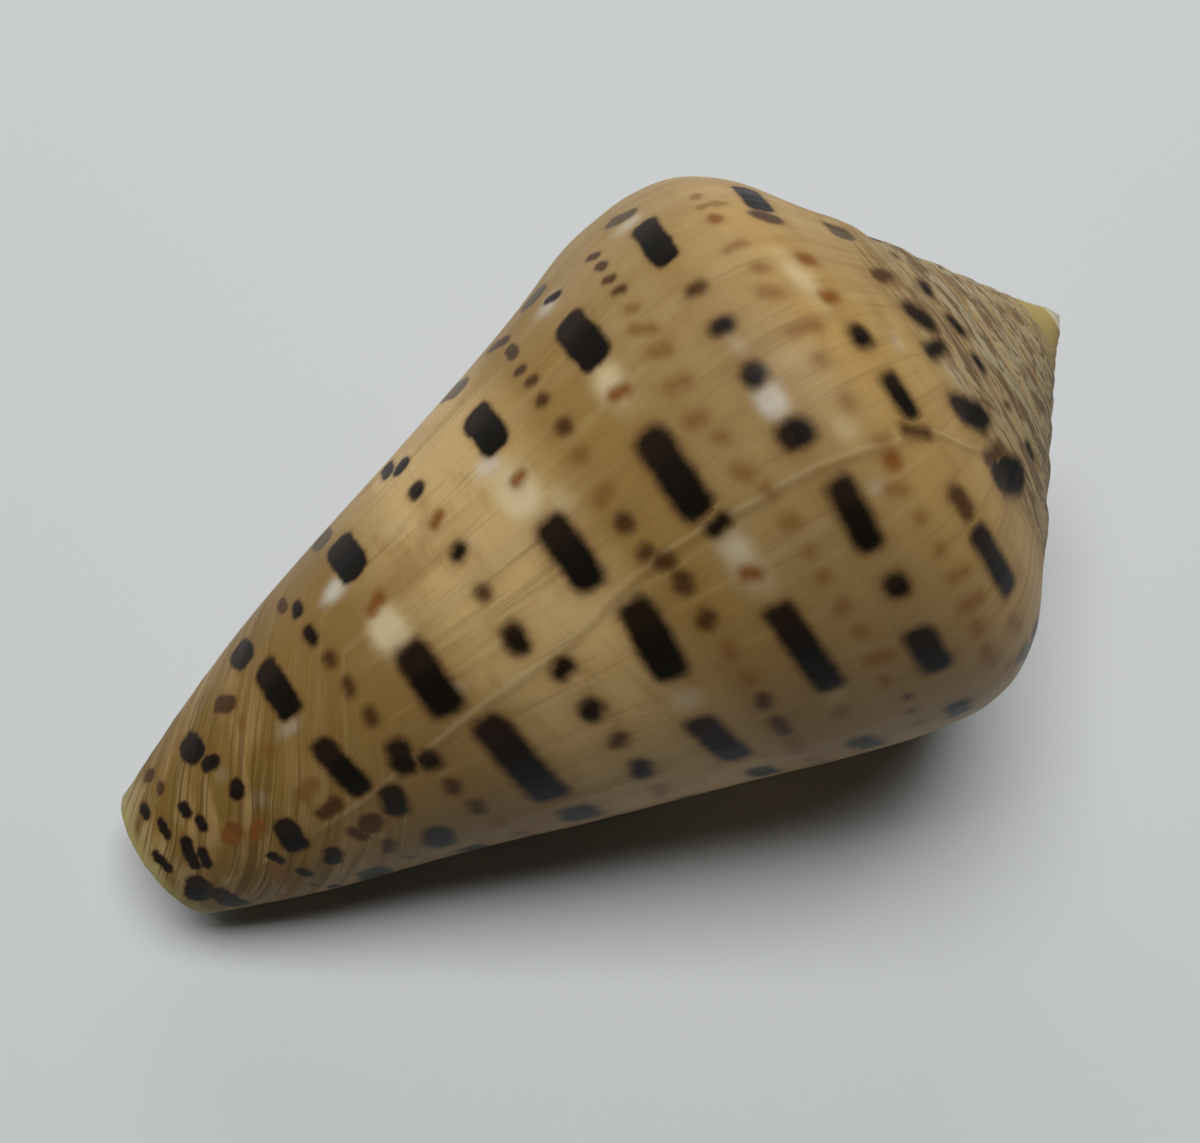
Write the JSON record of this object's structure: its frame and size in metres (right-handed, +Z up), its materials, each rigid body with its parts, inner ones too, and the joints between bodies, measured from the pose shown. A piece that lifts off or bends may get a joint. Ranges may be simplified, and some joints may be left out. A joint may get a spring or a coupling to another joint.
{
  "type": "cone shell",
  "caption": "Spotted cone-shaped sea shell, coiled to the right, with a low pointed spire, a rounded shoulder and a narrow slit aperture on its hidden side.",
  "frame": {"origin": "bottom centre of the bounding box, on the surface the shell lies on", "axes": "+X along the shell seen from above, from the narrow tip towards the pointed spire; +Z up as it lies; -Z is the side with the flattened body"},
  "size_m": [0.088, 0.049, 0.047],
  "materials": {
    "shell_porcelain": "smooth, slightly worn and softly glossy; cream and tan ground with rows of black-brown bars and orange dots"
  },
  "bodies": {
    "root": {"shell": "shell_porcelain"}
  },
  "joints": []
}
